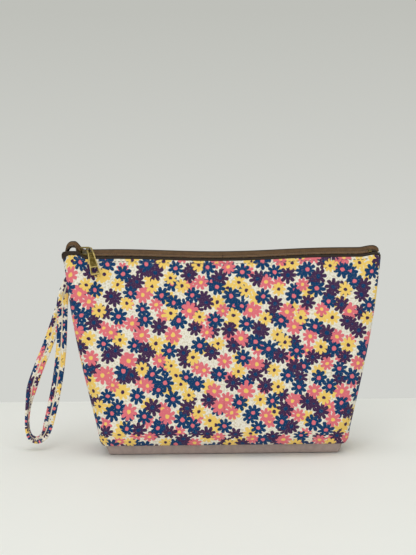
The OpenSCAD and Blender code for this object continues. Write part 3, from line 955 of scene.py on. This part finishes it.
# distance from the zipper's middle and height of the tape, in millimetres, from the coil outwards
TAPE_PROFILE = ((1.1, 0.3), (2.8, 0.2), (4.3, 0.2), (5.5, 0.9), (6.5, 1.8), (7.3, 1.5), (7.6, 0.4),
                (7.2, -0.6), (6.7, -2.2), (6.3, -5), (6.2, -9))
BEAD_START = (0.2, 0.4)      # shares of the profile over which its round bead begins
BEAD_END = (0.6, 0.8)        # and ends
BACK_BEAD_RISE = 1.5         # millimetres
FRONT_BEAD_RISE = 2.0        # left of the slider, in millimetres
FRONT_BEAD_DROP = 2.4        # at the rounded left end, in millimetres
RIGHT_END_SHAPE = (0.35, 5.2, 1.005)    # narrowing, drop in millimetres and stretch of a tape end
LEFT_END_SHAPE = (0.12, 0.4, 1)


def tape_point(builder, face, end, across, up):
    """Point of one tape: flat beside the coil, a round bead at the canvas fold, then down inside."""
    zipper = builder.zipper
    narrowing, end_drop, stretch = RIGHT_END_SHAPE if end == RIGHT else LEFT_END_SHAPE
    x = end * zipper.tape_end * across
    reach, above = smooth_run(TAPE_PROFILE, up)
    bead = ramp(up, *BEAD_START) * (1 - ramp(up, *BEAD_END))
    share = min(1, max(0, (abs(x) - zipper.tape_end + END_ROUND) / END_ROUND))
    rounded = 1 - math.sqrt(1 - share * share)
    if face == BACK:
        above += BACK_BEAD_RISE * bead
        if end == LEFT and above < 0:
            above *= 1 - 0.8 * arch_share(x, 8 * MM)
    elif end == LEFT:
        beyond_slider = ramp(-x, 109 * MM, 114 * MM)
        above += FRONT_BEAD_RISE * bead * beyond_slider - FRONT_BEAD_DROP * bead * rounded
        stretch = 1.012
    reach *= MM * (1 - narrowing * rounded)
    above = MM * (above - end_drop * rounded)
    x *= stretch
    x -= end * max(0, -above) * builder.form.slope
    point = builder.form.band_point(x, face * reach, above)
    point.z += builder.form.fold_lift(face, x) * ramp(up, *BEAD_START)
    if face == BACK and end == LEFT:
        point.z += zipper.arch * arch_share(x, reach)
    return point, Vector((x, face * TAPE_CLOTH * up))


def arch_share(x, reach):
    """How much of the arch the back tape has at a point near the left end. Beside the coil the
    arch begins further out, to leave room for the slider."""
    foot, crown, tail = -124.4 * MM, -119.0 * MM, -109 * MM
    slider_near, slider_clear = -115.6 * MM, -114.1 * MM
    coil_edge, beside_coil = 4.4 * MM, 5.4 * MM
    if x < crown:
        lean = min(1, max(0, (crown - x) / (crown - foot)))
        rise = math.sqrt(1 - lean * lean)
    else:
        rise = 1 - ramp(x, crown + 2 * MM, tail)
    near_coil = 1 - ramp(reach, coil_edge, beside_coil)
    return rise * (1 - near_coil * ramp(x, slider_near, slider_clear))


class POUCH_OT_coil(PieceBuilder, bpy.types.Operator):
    """Makes the two interlocking zipper coils"""

    bl_idname = "pouch.coil"
    bl_label = "Zipper coils"

    steps = 10               # around one turn
    short_of_tape = 8 * MM
    overlap = 0.45 * MM      # how far each coil reaches past the middle of the zipper
    end_drop = 3.0 * MM
    drop_start = 12 * MM

    def build(self):
        nylon = coil_nylon("Coil nylon", self.colours.coil)
        for face, end in QUARTERS:
            self.half_coil(face, end, nylon)

    def half_coil(self, face, end, nylon):
        """A round strand spun along the zipper, then flattened and laid on its tape."""
        zipper = self.zipper
        turns = int((zipper.tape_end - self.short_of_tape) / zipper.coil_pitch)
        start = Vector((0, 0, 1))
        mesh = bmesh.new()
        ring = bmesh.ops.create_circle(mesh, segments=6, radius=0.5 * zipper.strand)["verts"]
        bmesh.ops.rotate(mesh, verts=ring, matrix=Matrix.Rotation(math.pi / 2, 3, "X"))
        bmesh.ops.translate(mesh, verts=ring, vec=start * (zipper.coil_width - zipper.strand) / 2)
        rim = list({edge for vert in ring for edge in vert.link_edges})
        bmesh.ops.spin(mesh, geom=ring + rim, cent=(0, 0, 0), axis=(1, 0, 0),
                       dvec=(zipper.coil_pitch / self.steps, 0, 0), angle=turns * 2 * math.pi,
                       steps=turns * self.steps, use_merge=False)
        bmesh.ops.holes_fill(mesh, edges=mesh.edges[:], sides=6)
        squash = (zipper.coil_height - zipper.strand) / (zipper.coil_width - zipper.strand)
        middle = zipper.coil_width / 2 - self.overlap
        offset = (0.5 if face == BACK else 0) * zipper.coil_pitch
        end_drop = self.end_drop * (1 if end == RIGHT else 0.2)
        for vert in mesh.verts:
            x = end * (vert.co.x + offset)
            across = face * (middle + vert.co.y)
            above = zipper.tape_thickness / 2 + zipper.coil_height / 2 + vert.co.z * squash
            drop = end_drop * ramp(abs(x), zipper.tape_end - self.drop_start, zipper.tape_end)
            point = self.form.band_point(x, across, above - drop)
            if face == BACK and end == LEFT:
                point.z += zipper.arch * arch_share(x, abs(across))
            vert.co = point
        bmesh.ops.recalc_face_normals(mesh, faces=mesh.faces[:])
        keep_quarter(mesh, "coil", "coil_ends", face, end, nylon)


class POUCH_OT_zipper_ends(PieceBuilder, bpy.types.Operator):
    """Makes the bar tacks and the stop that close the two ends of the zipper"""

    bl_idname = "pouch.zipper_ends"
    bl_label = "Zipper ends"

    tack_turns = 5
    tack_inset = 4.2 * MM
    tack_step = 0.45 * MM
    tack_reach = 2.6 * MM
    tack_thread = (0.24 * MM, 1.5 * MM, 0.22 * MM)
    stop_bow = 0.35 * MM
    stop_bevel = 0.25 * MM

    def build(self):
        dark = sewing_thread("Dark thread", toned(self.colours.tape, 0.6))
        brass = antique_brass("Stop brass", self.colours.brass, self.colours.brass_wear_and_highlight)
        self.tacks(dark)
        self.stop(brass)

    def tacks(self, dark):
        """Short bars of thread across each tape at the left end, one turn of thread beside another."""
        mesh = bmesh.new()
        above = self.zipper.tape_thickness + 0.25 * MM
        turned = Matrix.Rotation(self.shape.band_tilt, 4, "X")
        for face in (FRONT, BACK):
            for turn in range(self.tack_turns):
                x = self.tack_inset + self.tack_step * turn - self.zipper.tape_end
                middle = self.form.band_point(x, face * self.tack_reach, above)
                if face == BACK:
                    middle.z += self.zipper.arch * arch_share(x, self.tack_reach)
                add_bead(mesh, middle, turned, self.tack_thread, around=8)
        piece = keep_piece(mesh, "end_tacks", dark, ["left_end_tacks"])
        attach(piece, "pouch_body")

    def stop(self, brass):
        """A clamped metal bridge over both coils."""
        low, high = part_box("right_end_stop")
        x = (low.x + high.x) / 2
        mesh = bmesh.new()
        made = bmesh.ops.create_cube(mesh, size=1)["verts"]
        bmesh.ops.scale(mesh, verts=made, vec=(high.x - low.x, high.y - low.y, self.zipper.coil_height))
        bmesh.ops.subdivide_edges(mesh, edges=mesh.edges[:], cuts=3, use_grid_fill=True)
        for vert in mesh.verts:
            bow = math.cos(math.pi * vert.co.y / (high.y - low.y))
            vert.co.z += self.stop_bow * bow if vert.co.z > 0 else 0
        sharp = [edge for edge in mesh.edges
                 if len(edge.link_faces) == 2 and edge.calc_face_angle() > math.radians(50)]
        bmesh.ops.bevel(mesh, geom=sharp, offset=self.stop_bevel, offset_type="OFFSET", segments=2,
                        profile=0.5, affect="EDGES", material=-1)
        bmesh.ops.rotate(mesh, verts=mesh.verts[:], matrix=Matrix.Rotation(self.shape.band_tilt, 3, "X"))
        place = self.form.band_point(x, 0, self.zipper.tape_thickness + 0.3 * MM)
        bmesh.ops.translate(mesh, verts=mesh.verts[:], vec=place)
        piece = keep_piece(mesh, "end_stop", brass, ["right_end_stop"])
        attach(piece, "pouch_body")


class POUCH_OT_topstitch(PieceBuilder, bpy.types.Operator):
    """Makes the row of stitches just below the canvas fold on both sides"""

    bl_idname = "pouch.topstitch"
    bl_label = "Top stitches"

    row_share = 0.93         # how much of the zipper's length the row takes
    thread_half = (0.2 * MM, 0.26 * MM)
    proud = 0.08 * MM

    def build(self):
        thread = sewing_thread("Top thread", self.colours.top_thread)
        pitch = self.zipper.stitch_pitch
        for face, end in QUARTERS:
            mesh = bmesh.new()
            for stitch in range(int(self.row_share * self.zipper.tape_end / pitch)):
                self.stitch(mesh, face, (stitch + 0.5) * pitch, end)
            keep_quarter(mesh, "topstitch", "topstitch", face, end, thread)

    def stitch(self, mesh, face, x, end):
        corner = self.shape.corner_radius * self.form.top_roundness
        long = self.form.half_length(self.shape.height) - corner
        share = x / long * self.form.flat_share
        climb = 2 - self.zipper.stitch_below / self.shape.height
        point = self.form.wall_point(face, end, share, climb)[0]
        point.y += face * self.proud
        half_sizes = (self.zipper.stitch_length / 2, *self.thread_half)
        add_bead(mesh, point, Matrix.Identity(4), half_sizes)


class POUCH_OT_slider_and_pull(PieceBuilder, bpy.types.Operator):
    """Gives the zipper's slider and its pull their aged brass, with rubbed wear and painted highlight
    along their rims
    """

    bl_idname = "pouch.slider_and_pull"
    bl_label = "Slider and pull"

    slider_edge = (3.3 * MM, 4.0 * MM)      # distances from the middle where the plates get bright: rubbed wear and painted highlight
    crown_top = (6.3 * MM, 7.2 * MM)        # heights over which the crown's top gets bright: painted highlight and rubbed wear
    pivot = Vector((2.6, 0, 5.5)) * MM      # the pull's pivot, seen from the slider
    pull_lean, pull_turn, plate_lean = (math.radians(degrees) for degrees in (14, 16, 30))
    plate_start = -5.9 * MM                 # from the pivot to the top of the pull's plate
    plate_length = 19 * MM
    plate_half_top, plate_half_bottom = 2.5 * MM, 4.2 * MM
    plate_rim = (0.77 * MM, 1.1 * MM)
    foot_rim = (0.93, 0.96)                 # shares of the plate's length
    window_top, bar_edge = 0.64, (0.01, 0.035)

    def build(self):
        low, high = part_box("slider_body")
        middle = Matrix.Translation(((low.x + high.x) / 2, 0, self.shape.height))
        self.band = middle @ Matrix.Rotation(self.shape.band_tilt, 4, "X")
        for node, name, rim in (("slider_body", "Slider brass", self.slider_rim_wear_and_highlight),
                                ("pull_tab", "Pull brass", self.pull_rim_wear_and_highlight)):
            brass = antique_brass(name, self.colours.brass, self.colours.brass_wear_and_highlight, rim)
            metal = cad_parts[node]
            if not metal.material_slots:
                metal.data.materials.append(brass)
            for slot in metal.material_slots:
                slot.material = brass

    def local(self, finish, frame_matrix):
        """Object coordinates seen from the piece's own frame."""
        mapping = finish.put("ShaderNodeMapping", {"Vector": finish.place()}, vector_type="TEXTURE")
        mapping.inputs["Location"].default_value = frame_matrix.to_translation()
        mapping.inputs["Rotation"].default_value = frame_matrix.to_euler("XYZ")
        return finish.parts(mapping.outputs[0])

    def slider_rim_wear_and_highlight(self, finish):
        """Rubbed wear and painted highlight along the outer edges of the two plates and on the crown's
        top.
        """
        place = self.local(finish, self.band)
        edge = finish.between(finish.sum("ABSOLUTE", place[1]), *self.slider_edge)
        crown = finish.between(place[2], *self.crown_top)
        return finish.sum("MULTIPLY", finish.sum("MAXIMUM", edge, crown), 0.8)

    def pull_rim_wear_and_highlight(self, finish):
        """Rubbed wear and painted highlight along the raised rim of the plate and on the bar above its
        window.
        """
        turn = (Matrix.Translation(self.pivot) @ Matrix.Rotation(self.pull_lean, 4, "X")
                @ Matrix.Rotation(self.pull_turn, 4, "Z"))
        plate = Matrix.Translation((0, self.plate_start, 0)) @ Matrix.Rotation(self.plate_lean, 4, "X")
        place = self.local(finish, self.band @ turn @ plate)
        aside = finish.sum("ABSOLUTE", place[0])
        down = finish.sum("DIVIDE", finish.sum("MULTIPLY", place[1], -1.0), self.plate_length)
        widen = self.plate_half_bottom - self.plate_half_top
        half = finish.sum("MULTIPLY_ADD", down, widen, self.plate_half_top)
        inside = finish.sum("SUBTRACT", half, aside)
        sides = finish.between(inside, *self.plate_rim, 1.0, 0.0)
        foot = finish.between(down, *self.foot_rim)
        from_bar = finish.sum("ABSOLUTE", finish.sum("SUBTRACT", down, self.window_top))
        bar = finish.between(from_bar, *self.bar_edge, 1.0, 0.0)
        rim = finish.sum("MAXIMUM", finish.sum("MAXIMUM", sides, foot), bar)
        return finish.sum("MULTIPLY", rim, 0.9)


class RibbonPath:
    """Smooth path of a flat strap through stations of x, z, y and turn, in millimetres and degrees.

    With a turn of 0 the strap's width lies across the path as seen from the front. With a turn of
    90 degrees the strap shows its edge there.
    """

    def __init__(self, stations):
        self.stations = stations

    def at(self, share):
        """Place and turn at a share of the path."""
        x, z, y, turn = smooth_run(self.stations, share)
        return Vector((x, y, z)) * MM, math.radians(turn)

    def frame(self, share):
        step = 0.004
        point, turn = self.at(share)
        along = (self.at(share + step)[0] - self.at(share - step)[0]).normalized()
        across = Vector((-along.z, 0, along.x)).normalized()
        width = across * math.cos(turn) + Vector((0, 1, 0)) * math.sin(turn)
        return point, width.normalized(), along.cross(width).normalized()

    def long(self):
        parts = 60
        points = [self.at(part / parts)[0] for part in range(parts + 1)]
        return sum((after - before).length for before, after in zip(points, points[1:]))


def ribbon(path, width, thickness, groove, rows):
    """A closed flat strap along a path, with rounded edges and a sewn groove down both faces."""
    run = path.long()
    square = 0.55            # 1 would give an oval cross-section, 0 a sharp-cornered one
    groove_aside, groove_half = 0.2 * MM, 0.7 * MM

    def place(around, along):
        point, wide, deep = path.frame(along)
        angle = 2 * math.pi * around
        side = math.copysign(abs(math.cos(angle)) ** square, math.cos(angle))
        face = math.copysign(abs(math.sin(angle)) ** square, math.sin(angle))
        across = side * width / 2
        sunk = groove * hump(across, groove_aside, groove_half)
        lift = math.copysign(max(0, abs(face) * thickness / 2 - sunk), face)
        down = width / 2 - across if around <= 0.5 else 1.5 * width + across
        return point + wide * across + deep * lift, Vector((run * along, down))

    mesh = shaped_grid(32, rows, place)
    bmesh.ops.remove_doubles(mesh, verts=mesh.verts[:], dist=0.01 * MM)
    bmesh.ops.holes_fill(mesh, edges=mesh.edges[:], sides=0)
    bmesh.ops.recalc_face_normals(mesh, faces=mesh.faces[:])
    return mesh


NECK_PATH = RibbonPath([(-119.6, 139.0, 0, 0), (-121.6, 135.9, 0, 0), (-124.2, 130.8, 0, 0),
                        (-126.4, 123.8, 0, 0), (-127.8, 116.0, 0, 0)])

LOOP_PATH = RibbonPath([(-126.4, 122.0, 0.9, 0), (-129.4, 113.5, 1.2, 0), (-133.6, 101.5, 1.4, 0),
                        (-140.1, 84.0, 1.2, 0), (-146.6, 68.5, 1.0, 2), (-152.2, 53.5, 0.6, 14),
                        (-155.3, 40.5, 0.2, 62), (-157.1, 28.5, 0, 80), (-157.3, 17.2, 0, 82),
                        (-154.6, 10.2, 0, 76), (-148.8, 8.4, 0, 64), (-143.2, 13.0, 0, 42),
                        (-140.2, 22.0, -0.2, 16), (-137.6, 32.0, -0.6, 4), (-134.2, 47.0, -0.9, 0),
                        (-131.0, 64.0, -1.1, 0), (-128.8, 82.0, -1.3, 0), (-127.6, 100.0, -1.3, 0),
                        (-127.0, 113.0, -1.2, 0), (-126.4, 122.0, -0.9, 0)])


class POUCH_OT_wrist_strap(PieceBuilder, bpy.types.Operator):
    """Makes the wrist strap: the doubled neck at the seam, the hanging loop and their stitches"""

    bl_idname = "pouch.wrist_strap"
    bl_label = "Wrist strap"

    print_cell = 8.6 * MM
    print_size = 0.72
    neck_wider, neck_thicker = 1.02, 2.1     # the neck is the strap doubled
    stitch_run = (0.04, 0.96)                # shares of the loop where its row starts and ends
    stitch_pitch = 3 * MM
    stitch_half = (0.95 * MM, 0.2 * MM, 0.2 * MM)
    stitch_proud = 0.06 * MM
    seam_aside = 0.2 * MM
    tack_bars = 5
    tack_start, tack_step = 0.62, 0.03       # shares of the neck

    def build(self):
        strap = self.strap
        canvas = printed_canvas("Printed strap", self.colours, self.print_cell, self.print_size,
                                strap.width)
        thread = sewing_thread("Strap thread", self.colours.thread)
        neck = ribbon(NECK_PATH, strap.width * self.neck_wider, strap.thickness * self.neck_thicker,
                      strap.groove, 30)
        neck = keep_piece(neck, "strap_neck_cloth", canvas, ["strap_neck"])
        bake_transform(neck)
        loop = ribbon(LOOP_PATH, strap.width, strap.thickness, strap.groove, 220)
        self.follow_neck(keep_piece(loop, "strap_loop_cloth", canvas, ["wrist_strap"]))
        self.follow_neck(keep_piece(self.stitches(), "strap_stitches", thread))
        tack = keep_piece(self.tack(), "strap_bar_tack", thread, ["strap_tack"])
        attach(tack, "strap_root")

    def follow_neck(self, piece):
        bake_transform(piece)

    def stitches(self):
        """Small stitches in the groove on both faces of the loop."""
        mesh = bmesh.new()
        first, last = self.stitch_run
        lift = self.strap.thickness / 2 - self.strap.groove + self.stitch_proud
        count = int((last - first) * LOOP_PATH.long() / self.stitch_pitch)
        for index in range(count):
            point, wide, deep = LOOP_PATH.frame(mix(first, last, (index + 0.5) / count))
            turned = Matrix((wide.cross(deep), wide, deep)).transposed().to_4x4()
            for side in (-1, 1):
                spot = point + wide * self.seam_aside + deep * side * lift
                add_bead(mesh, spot, turned, self.stitch_half, rings=5)
        return mesh

    def tack(self):
        """Bars of thread across the neck on both faces."""
        mesh = bmesh.new()
        half_sizes = (self.strap.width * 0.4, 0.2 * MM, 0.2 * MM)
        for bar in range(self.tack_bars):
            point, wide, deep = NECK_PATH.frame(self.tack_start + self.tack_step * bar)
            turned = Matrix((wide, wide.cross(deep), deep)).transposed().to_4x4()
            for side in (-1, 1):
                lift = deep * side * self.strap.thickness * 1.03
                add_bead(mesh, point + lift, turned, half_sizes, rings=8)
        return mesh


class POUCH_OT_stage(PieceBuilder, bpy.types.Operator):
    """Sets the floor, the pale room, the soft light and the camera"""

    bl_idname = "pouch.stage"
    bl_label = "Stage"

    floor_half = 1.5                         # metres
    fade = (-0.06, 0.16)                     # heights of view between which the room changes shade
    lit_point = Vector((0, 0, 0.08))
    lamps = (("Ceiling light", (0.05, -0.2, 1.3), 1.1, 6.6),
             ("Front light", (-0.45, -1.3, 0.9), 1.0, 5))    # place, size and power in watts

    def build(self):
        paint_finish = painted_board("Floor paint", self.look.floor, 0.01)
        place = Matrix.Translation((0, self.look.floor_behind - self.floor_half, -0.02 * MM))
        self.board("floor", paint_finish, place)
        self.room()
        for lamp in self.lamps:
            self.soft_light(*lamp)
        self.camera()

    def keep(self, name, data):
        made = bpy.data.objects.new(name, data)
        bpy.context.scene.collection.objects.link(made)
        return made

    def board(self, name, paint_finish, place):
        mesh = bmesh.new()
        bmesh.ops.create_grid(mesh, x_segments=8, y_segments=8, size=self.floor_half, matrix=place)
        data = bpy.data.meshes.new(name)
        mesh.to_mesh(data)
        mesh.free()
        data.materials.append(paint_finish)
        board = self.keep(name, data)

    def room(self):
        """An even light from all round, a little darker higher up."""
        world = bpy.data.worlds.new("Room light")
        world.use_nodes = True
        nodes = world.node_tree.nodes
        links = world.node_tree.links
        upward = nodes.new("ShaderNodeSeparateXYZ")
        links.new(nodes.new("ShaderNodeTexCoord").outputs["Generated"], upward.inputs[0])
        fade = nodes.new("ShaderNodeMapRange")
        fade.inputs["From Min"].default_value, fade.inputs["From Max"].default_value = self.fade
        links.new(upward.outputs["Z"], fade.inputs["Value"])
        shade = nodes.new("ShaderNodeMix")
        shade.data_type = "RGBA"
        links.new(fade.outputs[0], shade.inputs[0])
        shade.inputs[6].default_value = (*self.look.room, 1)
        shade.inputs[7].default_value = (*self.look.room_above, 1)
        links.new(shade.outputs[2], nodes["Background"].inputs["Color"])
        bpy.context.scene.world = world

    def soft_light(self, name, place, size, power):
        lamp = bpy.data.lights.new(name, "AREA")
        lamp.size = size
        lamp.energy = power
        light = self.keep(name, lamp)
        light.location = place
        toward = self.lit_point - Vector(place)
        light.rotation_euler = toward.to_track_quat("-Z", "Y").to_euler()

    def camera(self):
        """The camera looks a little above and to the left of the pouch, so that it stands low in view."""
        look = self.look
        target = Vector((0, 0, self.shape.height / 2))
        away = Vector((math.sin(look.camera_turn) * math.cos(look.camera_rise),
                       -math.cos(look.camera_turn) * math.cos(look.camera_rise),
                       math.sin(look.camera_rise)))
        lens = bpy.data.cameras.new("Camera")
        lens.sensor_fit = "HORIZONTAL"
        lens.sensor_width = 36
        lens.lens = look.focal_length
        lens.clip_start = 0.02
        camera = self.keep("Camera", lens)
        aim = (-away).to_track_quat("-Z", "Y").to_matrix()
        for turn, axis in ((look.camera_left, "Y"), (look.camera_up, "X"), (look.camera_roll, "Z")):
            aim = aim @ Matrix.Rotation(turn, 3, axis)
        camera.matrix_world = Matrix.Translation(target + away * look.camera_distance) @ aim.to_4x4()
        bpy.context.scene.camera = camera


# ---- the panel and the run -------------------------------------------------------------

GROUPS = (("pouch_shape", PouchShape), ("pouch_zipper", ZipperShape), ("pouch_strap", StrapShape),
          ("pouch_colours", PrintColours), ("pouch_stage", StageLook))

STEPS = (POUCH_OT_canvas, POUCH_OT_lining, POUCH_OT_seams, POUCH_OT_tape, POUCH_OT_coil,
         POUCH_OT_zipper_ends, POUCH_OT_topstitch, POUCH_OT_slider_and_pull, POUCH_OT_wrist_strap,
         POUCH_OT_stage)


class POUCH_PT_sidebar(bpy.types.Panel):
    """Lists the pieces of the pouch"""

    bl_idname = "POUCH_PT_sidebar"
    bl_label = "Zippered pouch"
    bl_space_type = "VIEW_3D"
    bl_region_type = "UI"
    bl_category = "Pouch"

    def draw(self, context):
        for step in STEPS:
            self.layout.operator(step.bl_idname)
        for name, group in GROUPS:
            box = self.layout.box()
            for key in group.__annotations__:
                box.prop(getattr(context.scene, name), key)


def register():
    for _name, group in GROUPS:
        bpy.utils.register_class(group)
    for name, group in GROUPS:
        setattr(bpy.types.Scene, name, bpy.props.PointerProperty(type=group))
    for step in STEPS:
        bpy.utils.register_class(step)
    bpy.utils.register_class(POUCH_PT_sidebar)


def unregister():
    bpy.utils.unregister_class(POUCH_PT_sidebar)
    for step in reversed(STEPS):
        bpy.utils.unregister_class(step)
    for name, group in reversed(GROUPS):
        delattr(bpy.types.Scene, name)
        bpy.utils.unregister_class(group)


def main():
    register()
    bpy.context.scene.view_settings.view_transform = "Standard"
    for step in STEPS:
        group, name = step.bl_idname.split(".")
        getattr(getattr(bpy.ops, group), name)()


if __name__ == "__main__":
    main()
